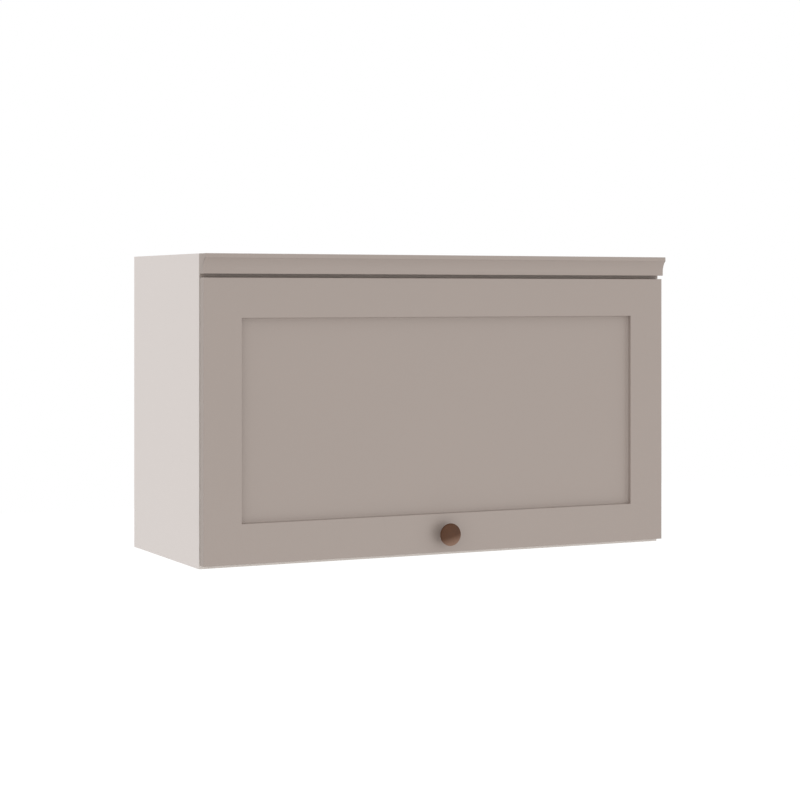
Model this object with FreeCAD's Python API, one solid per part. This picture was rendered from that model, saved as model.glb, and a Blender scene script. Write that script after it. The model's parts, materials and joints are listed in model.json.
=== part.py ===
# Lift-up wall cabinet: a flat-pack carcass of 15 mm board, a framed door hung from the top on two
# cup hinges, a crown moulding over it, a turned knob, and a spring lift fitting on each side wall.
#
# Frame: millimetres, +Z up. The origin is on the wall plane, midway between the two wall screws.
# -Y is the front, where the door is, and X runs along the cabinet's width. Heights are worked out
# from the bottom of the cabinet, and every piece is lowered to the origin as it is written.
#
# The door turns about one axis inside its own thickness. On each side a lever on the lift fitting
# and a link to the door make a parallelogram with that axis, so the lever turns exactly as far as
# the door and the link keeps its direction. A spiral cam on the lever's shaft lets a sprung
# carriage forward by the same amount for every degree.
import FreeCAD
import Part

import math
import os
from dataclasses import dataclass, replace

Vector = FreeCAD.Vector

# Carcass
WIDTH = 800.0
HEIGHT = 467.0
DEPTH = 300.0
BOARD = 15.0
BACK_BOARD = 3.0
BACK_INSET = 15.0
GROOVE_DEPTH = 7.0
EDGE_BAND = 1.0
UPPER_RAIL_HEIGHT = 80.0
LOWER_RAIL_HEIGHT = 60.0
WALL_HOLE_SPACING = 640.0
WALL_HOLE_RADIUS = 3.5

# Door
DOOR_THICKNESS = 15.0
DOOR_GAP = 2.0
DOOR_SIDE_REVEAL = 1.0
DOOR_BOTTOM_REVEAL = 5.5
FRAME_WIDTH = 60.0
RECESS_DEPTH = 8.0
RECESS_COVE = 3.5
EDGE_ROUND = 1.0
BACK_EDGE_BEVEL = 2.0

# Crown moulding, and the shadow gap between it and the door
MOULDING_HEIGHT = 30.0
MOULDING_GAP = 5.5
MOULDING_FOOT = 19.0
MOULDING_NOSE = 27.0
NOSE_HEIGHT = 6.5
QUIRK = 1.2
LIP_THICKNESS = 3.0
LIP_CLEARANCE = 0.5

# Knob
KNOB_RADIUS = 17.5
KNOB_RIM = 18.0
KNOB_PROJECTION = 24.0
KNOB_HEIGHT = 29.0

# Joinery
CAM_RADIUS = 7.5
CAM_HEIGHT = 12.5
CAM_IN = 24.0
CAM_LINES = (-60.0, -240.0)
BOLT_RADIUS = 3.5
DOWEL_LINES = (-92.0, -208.0)
DOWEL_RADIUS = 4.0
DOWEL_LENGTH = 30.0
SIDE_HOLE = 11.0

# Cup hinges
HINGE_X = 290.0
PIN_DEPTH = 8.2
PIN_BELOW_TOP = 7.6
CUP_RADIUS = 17.5
CUP_DEPTH = 11.5
CUP_FROM_EDGE = 3.0
ARM_WIDTH = 12.0
ARM_THICKNESS = 2.0
ARM_DROP = 15.0
EYE_RADIUS = 2.4
PLATE_FRONT = -290.0
PLATE_BACK = -248.0
PIN_RADIUS = 1.5
RUNNING_CLEARANCE = 0.05

# Lift fittings: reaches of the parallelogram, seen from the door's axis
LEVER_PIVOT_IN = 86.0
LEVER_PIVOT_DOWN = 54.0
BRACKET_PIN_IN = 12.0
BRACKET_PIN_DOWN = 116.0
HOUSING_FRONT = -262.0
HOUSING_BACK = -92.0
HOUSING_LOW = 338.0
HOUSING_HIGH = 408.0
HOUSING_WALL = 2.0
SPRING_RADIUS = 6.0
SPRING_WIRE = 2.0
SPRING_SPREAD = 13.0
CARRIAGE_LENGTH = 14.0
STOP_FRONT = -100.0
ADJUSTER_RISE = 27.0
CAM_REACH = 30.0
CAM_TRAVEL = 11.0
FOLLOWER_RADIUS = 5.0
OPEN_ANGLE = 90.0

# Worked out from the sizes above
HALF = WIDTH / 2
INNER = HALF - BOARD
FRONT = -DEPTH
DOOR_BACK = FRONT - DOOR_GAP
DOOR_FRONT = DOOR_BACK - DOOR_THICKNESS
DOOR_TOP = HEIGHT - MOULDING_HEIGHT - MOULDING_GAP
DOOR_HALF = HALF - DOOR_SIDE_REVEAL
TOP_BOARD_TOP = DOOR_TOP - 1.0
TOP_BOARD_LOW = TOP_BOARD_TOP - BOARD
WALL_HOLE_Z = TOP_BOARD_LOW - UPPER_RAIL_HEIGHT / 2
AXIS_Y = DOOR_BACK - PIN_DEPTH
AXIS_Z = DOOR_TOP - PIN_BELOW_TOP
CUP_Z = DOOR_TOP - CUP_FROM_EDGE - CUP_RADIUS
ARM_Z = AXIS_Z - ARM_DROP
LEVER_Y = AXIS_Y + LEVER_PIVOT_IN
LEVER_Z = AXIS_Z - LEVER_PIVOT_DOWN
BRACKET_Y = DOOR_BACK + BRACKET_PIN_IN
BRACKET_Z = AXIS_Z - BRACKET_PIN_DOWN
ELBOW_Y = LEVER_Y + BRACKET_Y - AXIS_Y
ELBOW_Z = LEVER_Z + BRACKET_Z - AXIS_Z

# Layers of a lift fitting, measured inwards from the side wall
BASE_PLATE = 2.0
MECHANISM_START = 6.0
MECHANISM_THICKNESS = 8.0
COVER_FACE = 21.0
LEVER_START = 21.5
LEVER_THICKNESS = 3.0
LINK_START = 24.8
LINK_THICKNESS = 3.0
EAR_START = 28.1
EAR_THICKNESS = 2.5
MIDDLE = -INNER + MECHANISM_START + MECHANISM_THICKNESS / 2


def box(x0, x1, y0, y1, z0, z1):
    """A block between two corners, given in any order along each axis."""
    low = Vector(min(x0, x1), min(y0, y1), min(z0, z1))
    return Part.makeBox(abs(x1 - x0), abs(y1 - y0), abs(z1 - z0), low)


def rod(start, direction, radius, length):
    """A round bar from a point, along a direction."""
    return Part.makeCylinder(radius, length, Vector(*start), Vector(*direction))


def along_x(outline, x0, x1):
    """Extrudes closed edges that lie in the plane x = 0 from x0 to x1."""
    face = Part.Face(Part.Wire(outline))
    face.translate(Vector(x0, 0, 0))
    return face.extrude(Vector(x1 - x0, 0, 0))


def polygon(points):
    """Straight edges round points given as (y, z)."""
    corners = [Vector(0, y, z) for y, z in points]
    return [Part.makeLine(a, b) for a, b in zip(corners, corners[1:] + corners[:1])]


def fuse(first, *others):
    """One solid from several that touch or overlap."""
    return first.multiFuse(list(others)).removeSplitter()


def seat(board, *fasteners):
    """Cuts the seats of the fasteners out of a board."""
    return board.cut(Part.makeCompound(list(fasteners)))


def mirror(shape):
    """The same piece on the other side of the cabinet."""
    return shape.mirror(Vector(0, 0, 0), Vector(1, 0, 0))


def both(shape):
    """A left piece and its mirror image, as separate solids."""
    return [shape, mirror(shape)]


def rounded_plate(x0, x1, y0, y1, z0, z1, radius):
    """A plate that stands in the YZ plane, with its four corners rounded."""
    plate = box(x0, x1, y0, y1, z0, z1)
    corners = [e for e in plate.Edges if abs(e.tangentAt(e.FirstParameter).x) > 0.9]
    return plate.makeFillet(radius, corners)


def tapered_bar(y0, z0, r0, y1, z1, r1, x0, x1):
    """A flat bar with a round end of its own radius at each of two points."""
    span = math.hypot(y1 - y0, z1 - z0)
    heading = math.atan2(z1 - z0, y1 - y0)
    lean = math.acos((r0 - r1) / span)
    corners = []
    for y, z, r, sign in [(y0, z0, r0, 1), (y1, z1, r1, 1), (y1, z1, r1, -1), (y0, z0, r0, -1)]:
        angle = heading + sign * lean
        corners.append((y + r * math.cos(angle), z + r * math.sin(angle)))
    ends = [rod((x0, y, z), (1, 0, 0), r, x1 - x0) for y, z, r in [(y0, z0, r0), (y1, z1, r1)]]
    return fuse(along_x(polygon(corners), x0, x1), *ends)


@dataclass(frozen=True)
class Screw:
    """A screw with a cross slot, given by the point where it enters a surface and its direction.

    Its head is countersunk in that surface, or stands proud of it. A pointed screw is for wood.
    """

    at: tuple
    way: tuple
    length: float
    radius: float = 1.9
    head_radius: float = 3.8
    head_height: float = 2.2
    pointed: bool = True
    proud: bool = False

    def blank(self):
        """The screw without its slots, which is also the shape of its seat."""
        way, start = Vector(*self.way), Vector(*self.at)
        if self.proud:
            head = Part.makeCylinder(self.head_radius, self.head_height, start - way * self.head_height, way)
        else:
            head = Part.makeCone(self.head_radius, self.radius, self.head_height, start, way)
        taper = 3 * self.radius if self.pointed else 0
        pieces = [Part.makeCylinder(self.radius, self.length - taper, start, way)]
        if self.pointed:
            pieces.append(Part.makeCone(self.radius, 0.3, taper, start + way * (self.length - taper), way))
        return fuse(head, *pieces)

    def solid(self):
        """The screw with its two slots cut."""
        way = Vector(*self.way)
        face = Vector(*self.at) - way * (self.head_height if self.proud else 0)
        reach, half, depth = 0.6 * self.head_radius, 0.4, 0.6 * self.head_height
        blades = [box(-reach, reach, -half, half, -1, depth), box(-half, half, -reach, reach, -1, depth)]
        turn = FreeCAD.Rotation(Vector(0, 0, 1), way)
        cross = fuse(*blades)
        cross.Placement = FreeCAD.Placement(face, turn)
        return self.blank().cut(cross)

    def mirrored(self):
        """The same screw on the other side of the cabinet."""
        return replace(self, at=(-self.at[0],) + self.at[1:], way=(-self.way[0],) + self.way[1:])


def blanks(screws):
    """The seats of several screws."""
    return [screw.blank() for screw in screws]


def paired(screws):
    """Screws of the left side and their mirror images."""
    return [twin for screw in screws for twin in (screw, screw.mirrored())]


# Joinery ----------------------------------------------------------------------------------------

def cam_places():
    """Each cam on the left: its line along Y, its bolt's height, and the way its pocket opens."""
    for y in CAM_LINES:
        yield y, TOP_BOARD_LOW + BOARD / 2, 1
        yield y, BOARD / 2, -1


def cam_bolts():
    """Bolts that screw into the side walls and end in a knob inside each cam."""
    bolts = []
    for y, z, _ in cam_places():
        threaded = rod((-INNER - SIDE_HOLE, y, z), (1, 0, 0), 2.5, SIDE_HOLE)
        neck = rod((-INNER, y, z), (1, 0, 0), BOLT_RADIUS, CAM_IN - CAM_RADIUS)
        pin = rod((-INNER + CAM_IN - CAM_RADIUS, y, z), (1, 0, 0), 1.8, 4.0)
        knob = rod((-INNER + CAM_IN - CAM_RADIUS + 4.0, y, z), (1, 0, 0), 3.0, 3.0)
        bolts += both(fuse(threaded, neck, pin, knob))
    return bolts


def cam_locks():
    """Round cams in the top and bottom boards, each with a driver slot and the mouth for its bolt."""
    cams = []
    for y, z, opens in cam_places():
        face = z + opens * BOARD / 2
        centre = -INNER + CAM_IN
        cam = rod((centre, y, face), (0, 0, -opens), CAM_RADIUS, CAM_HEIGHT)
        mouth = rod((centre - CAM_RADIUS - 1, y, z), (1, 0, 0), BOLT_RADIUS, CAM_RADIUS + 2)
        slot = box(centre - 4.5, centre + 4.5, y - 0.8, y + 0.8, face, face - opens * 2.0)
        cams += both(cam.cut(mouth).cut(slot))
    return cams


def cam_seats():
    """The round pocket of each cam, with the hole that its bolt reaches it through."""
    seats = []
    for y, z, opens in cam_places():
        pocket = rod((-INNER + CAM_IN, y, z + opens * BOARD / 2), (0, 0, -opens), CAM_RADIUS, CAM_HEIGHT)
        threaded = rod((-INNER - SIDE_HOLE, y, z), (1, 0, 0), 2.5, SIDE_HOLE)
        seats += both(fuse(pocket, threaded, rod((-INNER, y, z), (1, 0, 0), BOLT_RADIUS, CAM_IN)))
    return seats


def wood_dowels():
    """Fluteless dowels between the side walls and every cross board and rail."""
    places = [(y, TOP_BOARD_LOW + BOARD / 2) for y in DOWEL_LINES]
    places += [(y, BOARD / 2) for y in DOWEL_LINES]
    rail_y = -BACK_INSET / 2
    places += [(rail_y, TOP_BOARD_LOW - inset) for inset in (18.0, UPPER_RAIL_HEIGHT - 18.0)]
    places += [(rail_y, BOARD + inset) for inset in (15.0, LOWER_RAIL_HEIGHT - 15.0)]
    dowels = []
    for y, z in places:
        dowel = rod((-INNER - SIDE_HOLE, y, z), (1, 0, 0), DOWEL_RADIUS, DOWEL_LENGTH)
        dowels += both(dowel.makeChamfer(0.8, [e for e in dowel.Edges if e.Closed]))
    return dowels


def fascia_screws():
    """Long screws up through the top board into the fascia rail that stands on it."""
    y = FRONT + BOARD / 2
    return [Screw((x, y, TOP_BOARD_LOW), (0, 0, 1), 42.0) for x in (-240.0, 0.0, 240.0)]


def moulding_screws():
    """Screws through the fascia rail into the back of the moulding."""
    z = HEIGHT - 16.0
    return [Screw((x, FRONT + BOARD, z), (0, -1, 0), 30.0) for x in (-330.0, -110.0, 110.0, 330.0)]


# Carcass ----------------------------------------------------------------------------------------


def side_panel(fasteners):
    """Left side wall, grooved for the back board, without its front edge band."""
    wall = box(-HALF, -INNER, 0, FRONT + EDGE_BAND, 0, HEIGHT)
    groove_y = -BACK_INSET
    groove = box(-INNER - GROOVE_DEPTH, -INNER + 1, groove_y, groove_y - BACK_BOARD, -1, TOP_BOARD_TOP)
    return seat(wall.cut(groove), *fasteners)


def cross_board(low, fasteners):
    """Top or bottom board between the side walls, grooved for the back board."""
    board = box(-INNER, INNER, 0, FRONT + EDGE_BAND, low, low + BOARD)
    groove_low = low - 1 if low > HEIGHT / 2 else low + BOARD - GROOVE_DEPTH
    back = -BACK_INSET - BACK_BOARD
    groove = box(-INNER - 1, INNER + 1, -BACK_INSET, back, groove_low, groove_low + GROOVE_DEPTH + 1)
    return seat(board.cut(groove), *fasteners)


def back_panel():
    """Thin back board held in the grooves, with the wall screws' holes through it."""
    reach = INNER + GROOVE_DEPTH - 0.5
    low = BOARD - GROOVE_DEPTH + 0.5
    high = TOP_BOARD_LOW + GROOVE_DEPTH - 1.5
    board = box(-reach, reach, -BACK_INSET, -BACK_INSET - BACK_BOARD, low, high)
    return board.cut(Part.makeCompound(wall_holes()))


def wall_holes():
    """The two holes that the wall screws pass through."""
    spots = (-WALL_HOLE_SPACING / 2, WALL_HOLE_SPACING / 2)
    return [rod((x, 10, WALL_HOLE_Z), (0, -1, 0), WALL_HOLE_RADIUS, 40) for x in spots]


def hanging_rail(low, height, fasteners):
    """A rail behind the back board, flush with the wall plane."""
    rail = box(-INNER, INNER, 0, -BACK_INSET, low, low + height)
    return seat(rail, *fasteners)


def fascia_rail(fasteners):
    """Upright rail on the top board's front edge, which the moulding is screwed to."""
    rail = box(-INNER, INNER, FRONT, FRONT + BOARD, TOP_BOARD_TOP, HEIGHT)
    return seat(rail, *fasteners)


def edge_band(x0, x1, z0, z1):
    """A plastic strip over the front edge of a board."""
    band = box(x0, x1, FRONT, FRONT + EDGE_BAND, z0, z1)
    rim = [e for e in band.Edges if abs(e.CenterOfMass.y - FRONT) < 1e-6]
    return band.makeFillet(0.5, rim)


def crown_moulding(fasteners):
    """Moulding: an upright nose, a quirk, a hollow cove and a flat foot, with a lip behind the gap."""
    top = HEIGHT
    low = HEIGHT - MOULDING_HEIGHT
    lip_low = DOOR_TOP + LIP_CLEARANCE
    nose = FRONT - MOULDING_NOSE
    foot = FRONT - MOULDING_FOOT
    nose_low = top - NOSE_HEIGHT
    cove_low = top - 21.0
    ease = EDGE_ROUND
    start = [
        (FRONT, top), (FRONT, lip_low), (FRONT - LIP_THICKNESS, lip_low), (FRONT - LIP_THICKNESS, low),
        (foot + ease, low),
    ]
    points = [Vector(0, y, z) for y, z in start]
    edges = [Part.makeLine(a, b) for a, b in zip(points, points[1:])]
    diagonal = ease * (1 - math.sqrt(0.5))
    corner = Vector(0, foot + diagonal, low + diagonal)
    edges.append(Part.Arc(points[-1], corner, Vector(0, foot, low + ease)).toShape())
    edges.append(Part.makeLine(Vector(0, foot, low + ease), Vector(0, foot, cove_low)))
    cove_top = Vector(0, nose + QUIRK, nose_low)
    cove_middle = Vector(0, foot - 2.1, top - 14.3)
    edges.append(Part.Arc(Vector(0, foot, cove_low), cove_middle, cove_top).toShape())
    edges.append(Part.makeLine(cove_top, Vector(0, nose, nose_low)))
    edges.append(Part.makeLine(Vector(0, nose, nose_low), Vector(0, nose, top - ease)))
    crest = Vector(0, nose + ease, top)
    shoulder = Vector(0, nose + diagonal, top - diagonal)
    edges.append(Part.Arc(Vector(0, nose, top - ease), shoulder, crest).toShape())
    edges.append(Part.makeLine(crest, points[0]))
    return seat(along_x(edges, -HALF, HALF), *fasteners)


# Door -------------------------------------------------------------------------------------------


def door_leaf(fasteners):
    """Door with a sunk field, to which a small cove runs down all round from the 60 mm frame."""
    leaf = box(-DOOR_HALF, DOOR_HALF, DOOR_FRONT, DOOR_BACK, DOOR_BOTTOM_REVEAL, DOOR_TOP)
    front_rim = [e for e in leaf.Edges if abs(e.CenterOfMass.y - DOOR_FRONT) < 1e-6]
    leaf = leaf.makeFillet(EDGE_ROUND, front_rim)
    top_back = [
        e for e in leaf.Edges
        if abs(e.CenterOfMass.y - DOOR_BACK) < 1e-6 and abs(e.CenterOfMass.z - DOOR_TOP) < 1e-6
    ]
    leaf = leaf.makeChamfer(BACK_EDGE_BEVEL, top_back)
    low = DOOR_BOTTOM_REVEAL + FRAME_WIDTH
    high = DOOR_TOP - FRAME_WIDTH
    half = DOOR_HALF - FRAME_WIDTH
    floor = DOOR_FRONT + RECESS_DEPTH
    field = box(-half, half, floor, DOOR_FRONT - 1, low, high)
    field = field.makeFillet(RECESS_COVE, [e for e in field.Edges if abs(e.CenterOfMass.y - floor) < 1e-6])
    return seat(leaf.cut(field), *fasteners)


def knob():
    """Turned knob: a foot, a waist and a mushroom head with a low domed face."""
    foot = [Vector(0, 0, 0), Vector(8.5, 0, 0), Vector(8.5, 1.2, 0)]
    waist = Vector(6.8, 5.0, 0)
    neck = Vector(7.8, 10.0, 0)
    back = Vector(KNOB_RADIUS - 2.0, KNOB_RIM - 3.1, 0)
    side = Vector(KNOB_RADIUS, KNOB_RIM, 0)
    shoulder = Vector(KNOB_RADIUS - 2.0, KNOB_RIM + 2.9, 0)
    crown = Vector(0, KNOB_PROJECTION, 0)
    half = shoulder.x / 2
    rise = crown.y - shoulder.y
    ball = (shoulder.x ** 2 + rise ** 2) / (2 * rise)
    edges = [Part.makeLine(a, b) for a, b in zip(foot, foot[1:])]
    bends = [
        (foot[-1], Vector(7.1, 2.9, 0), waist),
        (waist, Vector(6.9, 7.6, 0), neck),
        (neck, Vector(11.3, 12.6, 0), back),
        (back, Vector(KNOB_RADIUS - 0.53, KNOB_RIM - 1.83, 0), side),
        (side, Vector(KNOB_RADIUS - 0.54, KNOB_RIM + 1.76, 0), shoulder),
        (shoulder, Vector(half, crown.y - ball + math.sqrt(ball ** 2 - half ** 2), 0), crown),
    ]
    edges += [Part.Arc(*bend).toShape() for bend in bends]
    edges.append(Part.makeLine(crown, foot[0]))
    turned = Part.Face(Part.Wire(edges)).revolve(Vector(0, 0, 0), Vector(0, 1, 0), 360)
    turned.rotate(Vector(0, 0, 0), Vector(0, 0, 1), 180)
    turned.translate(Vector(0, DOOR_FRONT, DOOR_BOTTOM_REVEAL + KNOB_HEIGHT))
    return turned


def knob_screw():
    """Machine screw from inside the door into the knob."""
    at = (0, DOOR_BACK, DOOR_BOTTOM_REVEAL + KNOB_HEIGHT)
    return Screw(at, (0, -1, 0), DOOR_THICKNESS + 15.0, 2.0, 4.0, 2.4, pointed=False, proud=True)


def door_bumpers():
    """A soft dot near each lower corner of the door's back, where it meets a side wall's edge."""
    pad = rod((-HALF + BOARD / 2, DOOR_BACK, 16.0), (0, 1, 0), 4.0, DOOR_GAP - 0.3)
    front = [e for e in pad.Edges if e.Closed and e.CenterOfMass.y > DOOR_BACK + 1]
    return both(pad.makeFillet(0.8, front))


# Cup hinges -------------------------------------------------------------------------------------

def hinge_pin():
    """Cross pin of the left hinge, held at both ends in the cup's wall and flush with it."""
    pin = rod((-HINGE_X - 12.0, AXIS_Y, AXIS_Z), (1, 0, 0), PIN_RADIUS, 24.0)
    return pin.common(rod((-HINGE_X, DOOR_BACK, CUP_Z), (0, -1, 0), CUP_RADIUS - 0.1, CUP_DEPTH))


def hinge_cup_screws():
    """Two screws through the wings of the left hinge's cup."""
    spots = (-HINGE_X - 24.0, -HINGE_X + 24.0)
    return [Screw((x, DOOR_BACK + 1.2, CUP_Z - 5.5), (0, -1, 0), 12.0, 1.7, 3.2, 1.2) for x in spots]


def hinge_cup():
    """Pressed cup of the left hinge with two wings, let into the back of the door."""
    outer = rod((-HINGE_X, DOOR_BACK, CUP_Z), (0, -1, 0), CUP_RADIUS, CUP_DEPTH)
    hollow = rod((-HINGE_X, DOOR_BACK + 2, CUP_Z), (0, -1, 0), CUP_RADIUS - 0.8, CUP_DEPTH + 2 - 0.5)
    wing = box(-HINGE_X - 31, -HINGE_X + 31, DOOR_BACK, DOOR_BACK + 1.2, CUP_Z - 12.5, CUP_Z + 1.5)
    corners = [e for e in wing.Edges if abs(e.tangentAt(e.FirstParameter).y) > 0.9]
    wing = wing.makeFillet(5.0, corners)
    return fuse(outer, wing).cut(hollow).cut(Part.makeCompound([hinge_pin()] + blanks(hinge_cup_screws())))


def hinge_arm():
    """Cranked arm of the left hinge: an eye on the pin, a drop inside the cup and a long foot."""
    x0 = -HINGE_X - ARM_WIDTH / 2
    x1 = -HINGE_X + ARM_WIDTH / 2
    half = ARM_THICKNESS / 2
    low = ARM_Z - half
    bend = 3.0
    tight = bend - ARM_THICKNESS
    root = math.sqrt(0.5)
    front, back, turn_y, turn_z = AXIS_Y - half, AXIS_Y + half, AXIS_Y - half + bend, low + bend
    high = low + ARM_THICKNESS
    outside = Part.Arc(
        Vector(0, front, turn_z), Vector(0, turn_y - bend * root, turn_z - bend * root),
        Vector(0, turn_y, low),
    )
    inside = Part.Arc(
        Vector(0, turn_y, high), Vector(0, turn_y - tight * root, turn_z - tight * root),
        Vector(0, back, turn_z),
    )
    foot_run = [(turn_y, low), (PLATE_BACK, low), (PLATE_BACK, high), (turn_y, high)]
    drop_run = [(back, turn_z), (back, AXIS_Z), (front, AXIS_Z), (front, turn_z)]
    pairs = list(zip(foot_run, foot_run[1:])) + list(zip(drop_run, drop_run[1:]))
    lines = [Part.makeLine(Vector(0, *a), Vector(0, *b)) for a, b in pairs]
    strip = along_x(Part.__sortEdges__([outside.toShape(), inside.toShape()] + lines), x0, x1)
    eye = rod((x0, AXIS_Y, AXIS_Z), (1, 0, 0), EYE_RADIUS, ARM_WIDTH)
    foot = box(-HINGE_X - 9, -HINGE_X + 9, PLATE_FRONT - 2, PLATE_BACK, low, low + ARM_THICKNESS)
    cheeks = [
        box(-HINGE_X + s * 9, -HINGE_X + s * 10.4, PLATE_FRONT - 2, PLATE_BACK, low, ARM_Z + 4.0)
        for s in (-1, 1)
    ]
    arm = fuse(strip, eye, foot, *cheeks)
    bore = rod((x0 - 1, AXIS_Y, AXIS_Z), (1, 0, 0), PIN_RADIUS + RUNNING_CLEARANCE, ARM_WIDTH + 2)
    return seat(arm, bore, *blanks(hinge_arm_screws()))


def hinge_arm_screws():
    """The clamp screw and the side adjuster that hold the left arm on its plate."""
    low = ARM_Z - ARM_THICKNESS / 2
    reach = TOP_BOARD_LOW - 0.4 - low
    sizes = ((PLATE_BACK - 9.0, 2.5), (PLATE_FRONT + 10.0, 2.0))
    return [
        Screw((-HINGE_X, y, low), (0, 0, 1), reach, radius, radius + 1.6, 1.6, pointed=False, proud=True)
        for y, radius in sizes
    ]


def hinge_plate():
    """Mounting plate of the left hinge: a rib inside the arm, and two wings on the top board."""
    low = ARM_Z + ARM_THICKNESS / 2
    rib = box(-HINGE_X - 8.8, -HINGE_X + 8.8, PLATE_FRONT, PLATE_BACK, low, TOP_BOARD_LOW)
    wings = box(
        -HINGE_X - 26, -HINGE_X + 26, PLATE_FRONT + 14, PLATE_BACK - 12, TOP_BOARD_LOW - 1.8, TOP_BOARD_LOW
    )
    corners = [e for e in wings.Edges if abs(e.tangentAt(e.FirstParameter).z) > 0.9]
    plate = fuse(rib, wings.makeFillet(6.0, corners))
    return seat(plate, *blanks(hinge_plate_screws() + hinge_arm_screws()))


def hinge_plate_screws():
    """Two screws through the wings of the left mounting plate."""
    y = (PLATE_FRONT + PLATE_BACK) / 2 + 1
    spots = (-HINGE_X - 18.5, -HINGE_X + 18.5)
    return [Screw((x, y, TOP_BOARD_LOW - 1.8), (0, 0, 1), 14.0, 1.8, 3.4, 1.6) for x in spots]


# Lift fittings ----------------------------------------------------------------------------------


def layer(start, thickness):
    """The span in X of one layer of the left fitting, from its distance to the side wall."""
    return -INNER + start, -INNER + start + thickness


def base_screws():
    """Three screws that hold the left fitting to the side wall."""
    corners = (HOUSING_FRONT + 9, HOUSING_LOW + 9), (HOUSING_BACK - 9, HOUSING_LOW + 9)
    spots = corners + ((-150.0, HOUSING_HIGH - 8.0),)
    return [Screw((-INNER + BASE_PLATE, y, z), (-1, 0, 0), 14.0, 1.9, 3.8, 1.6) for y, z in spots]


def lift_base():
    """Steel base plate of the left fitting, with the shaft's inner bearing."""
    x0, x1 = layer(0, BASE_PLATE)
    plate = rounded_plate(x0, x1, HOUSING_FRONT, HOUSING_BACK, HOUSING_LOW, HOUSING_HIGH, 8.0)
    boss = rod((x0, LEVER_Y, LEVER_Z), (1, 0, 0), 9.0, MECHANISM_START - 0.3)
    bearing = rod((x0 + 0.8, LEVER_Y, LEVER_Z), (1, 0, 0), 5.0 + RUNNING_CLEARANCE, 20)
    return seat(fuse(plate, boss), bearing, *blanks(base_screws()))


def lift_cover():
    """Moulded cover of the left fitting, closed by the base plate, with the shaft's outer bearing."""
    x0, x1 = layer(BASE_PLATE, COVER_FACE - BASE_PLATE)
    wall = HOUSING_WALL
    shell = rounded_plate(x0, x1, HOUSING_FRONT, HOUSING_BACK, HOUSING_LOW, HOUSING_HIGH, 8.0)
    rim = [e for e in shell.Edges if abs(e.CenterOfMass.x - x1) < 1e-6]
    shell = shell.makeFillet(1.5, rim)
    hollow = rounded_plate(
        x0 - 1, x1 - wall, HOUSING_FRONT + wall, HOUSING_BACK - wall,
        HOUSING_LOW + wall, HOUSING_HIGH - wall, 6.0,
    )
    bearing = rod((x0, LEVER_Y, LEVER_Z), (1, 0, 0), 6.0 + RUNNING_CLEARANCE, 40)
    head_way = rod((MIDDLE, HOUSING_FRONT - 1, LEVER_Z + ADJUSTER_RISE), (0, 1, 0), 3.6, wall + 2)
    return shell.cut(hollow).cut(bearing).cut(head_way)


def rivet_head(x, y, z, radius, way=1):
    """A flat head with an eased rim, whose underside is at x and which grows inwards or outwards."""
    head = rod((x, y, z), (way, 0, 0), radius, 1.6)
    return head.makeChamfer(0.5, [e for e in head.Edges if e.Closed and abs(e.CenterOfMass.x - x) > 1])


def cam_shaft():
    """Left shaft with its spiral cam. The cam's radius falls evenly with the angle."""
    x0, x1 = layer(MECHANISM_START, MECHANISM_THICKNESS)
    rate = CAM_TRAVEL / math.radians(OPEN_ANGLE)
    points = []
    for step in range(-1, 13):
        angle = math.radians(OPEN_ANGLE) * step / 11
        reach = CAM_REACH - rate * angle
        length = math.hypot(reach, rate)
        offset = FOLLOWER_RADIUS + 0.1
        out = reach - offset * reach / length
        aside = -offset * rate / length
        y = out * math.cos(angle) - aside * math.sin(angle)
        z = out * math.sin(angle) + aside * math.cos(angle)
        points.append(Vector(0, LEVER_Y + y, LEVER_Z + z))
    spiral = Part.BSplineCurve()
    spiral.interpolate(points)
    centre = Vector(0, LEVER_Y, LEVER_Z)
    outline = [spiral.toShape(), Part.makeLine(points[-1], centre), Part.makeLine(centre, points[0])]
    cam = along_x(outline, x0, x1)
    hub = rod((x0, LEVER_Y, LEVER_Z), (1, 0, 0), 11.0, x1 - x0)
    inner_end = rod((-INNER + 1.0, LEVER_Y, LEVER_Z), (1, 0, 0), 5.0, x0 + INNER - 1.0)
    outer_end = rod((x1, LEVER_Y, LEVER_Z), (1, 0, 0), 6.0, -INNER + LINK_START - x1)
    head = rivet_head(-INNER + LINK_START - 0.3, LEVER_Y, LEVER_Z, 8.0)
    return fuse(hub, cam, inner_end, outer_end, head)


def lift_lever():
    """Left power lever, keyed to the shaft at one end and holding the elbow pin at the other."""
    x0, x1 = layer(LEVER_START, LEVER_THICKNESS)
    bar = tapered_bar(LEVER_Y, LEVER_Z, 13.0, ELBOW_Y, ELBOW_Z, 8.0, x0, x1)
    holes = [rod((x0 - 1, LEVER_Y, LEVER_Z), (1, 0, 0), 6.0, 10), elbow_pin()]
    return bar.cut(Part.makeCompound(holes))


def elbow_pin():
    """Rivet that joins the left lever to its link."""
    x0 = -INNER + LEVER_START
    shank = rod((x0, ELBOW_Y, ELBOW_Z), (1, 0, 0), 3.0, LINK_START + LINK_THICKNESS + 0.3 - LEVER_START)
    head = rivet_head(-INNER + LINK_START + LINK_THICKNESS + 0.2, ELBOW_Y, ELBOW_Z, 5.0)
    return fuse(shank, head)


def lift_link():
    """Left link from the elbow to the bracket on the door, with a running bore at each end."""
    x0, x1 = layer(LINK_START, LINK_THICKNESS)
    bar = tapered_bar(ELBOW_Y, ELBOW_Z, 8.0, BRACKET_Y, BRACKET_Z, 7.0, x0, x1)
    elbow_bore = rod((x0 - 1, ELBOW_Y, ELBOW_Z), (1, 0, 0), 3.0 + RUNNING_CLEARANCE, 5)
    door_bore = rod((x0 - 1, BRACKET_Y, BRACKET_Z), (1, 0, 0), 2.5 + RUNNING_CLEARANCE, 5)
    return bar.cut(elbow_bore).cut(door_bore)


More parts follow.
